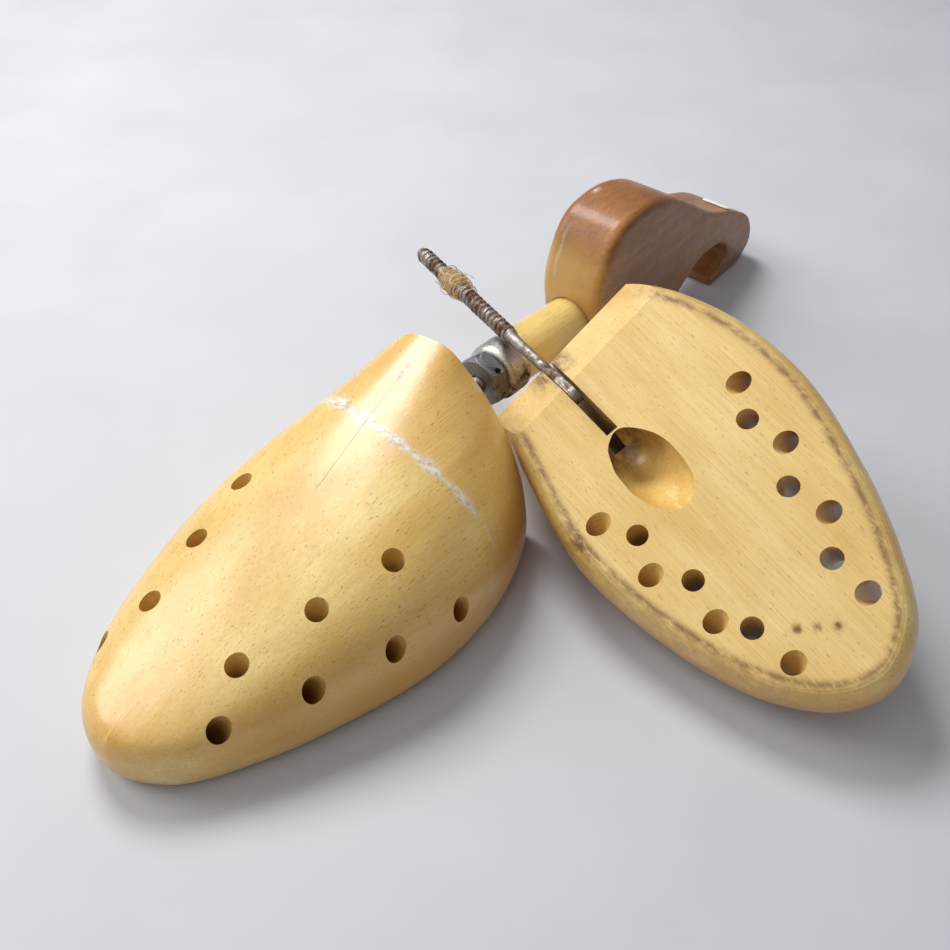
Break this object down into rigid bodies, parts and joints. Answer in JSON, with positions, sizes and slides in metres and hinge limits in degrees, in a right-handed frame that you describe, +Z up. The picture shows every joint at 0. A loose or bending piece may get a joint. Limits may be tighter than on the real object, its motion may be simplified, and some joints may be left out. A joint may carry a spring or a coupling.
{
  "type": "shoe tree",
  "caption": "Pair of vented wooden screw shoe trees: one whole, with a threaded rod, nut, ferrule and hooked heel block, and one turned sole up with its rod loose.",
  "frame": {"origin": "centre of the flat sole of the whole tree's forepart, on the surface that it stands on", "axes": "+X along the rod towards the toe, +Y towards the broad side of the whole forepart, +Z up"},
  "size_m": [0.32, 0.2049, 0.0649],
  "materials": {
    "lacquered_beech": "gloss lacquer",
    "raw_beech": "bare sanded sole with lacquered upper",
    "pale_beech": "satin lacquer",
    "worn_beech": "worn gloss lacquer",
    "rusty_steel": "rusty",
    "nut_steel": "dull",
    "ferrule_steel": "bright, with brown rust",
    "white_patch": "matte"
  },
  "bodies": {
    "whole_forepart": {"forepart": "lacquered_beech", "hinge_pin": "rusty_steel"},
    "rod": {"threaded_rod": "rusty_steel"},
    "heel": {"ferrule": "ferrule_steel", "turned_neck": "pale_beech", "heel_block": "worn_beech", "neck_cross_pin": "rusty_steel", "tail_patch": "white_patch"},
    "nut": {"hex_nut": "nut_steel"},
    "loose_forepart": {"second_forepart": "raw_beech", "second_hinge_pin": "rusty_steel"},
    "loose_rod": {"second_rod": "rusty_steel"}
  },
  "joints": [
    {"name": "heel_swing", "type": "hinge", "parent": "whole_forepart", "child": "rod", "pos_m": [-0.053, -0.005, 0.03], "axis": [0, 1, 0], "range_deg": [0, 8]},
    {"name": "heel_travel", "type": "slide", "parent": "rod", "child": "heel", "axis": [-0.999, 0, -0.0436], "range_m": [-0.008, 0.012]},
    {"name": "nut_turn", "type": "hinge", "parent": "heel", "child": "nut", "pos_m": [-0.10515, -0.005, 0.02772], "axis": [-0.999, 0, -0.0436], "range_deg": [-1800, 1800]},
    {"name": "second_tree_lift", "type": "slide", "parent": "whole_forepart", "child": "loose_forepart", "axis": [0, 0, 1], "range_m": [0, 0.12]},
    {"name": "second_rod_swing", "type": "hinge", "parent": "loose_forepart", "child": "loose_rod", "pos_m": [-0.10329, 0.03047, 0.04147], "axis": [-0.8327, 0.2961, 0.4678], "range_deg": [0, 15.5]}
  ],
  "couplings": [
    {"joint": "nut_turn", "follows": "heel_travel", "rad_per_m": 2596.4},
    {"joint": "second_rod_swing", "follows": "heel_swing", "ratio": 1.9}
  ]
}
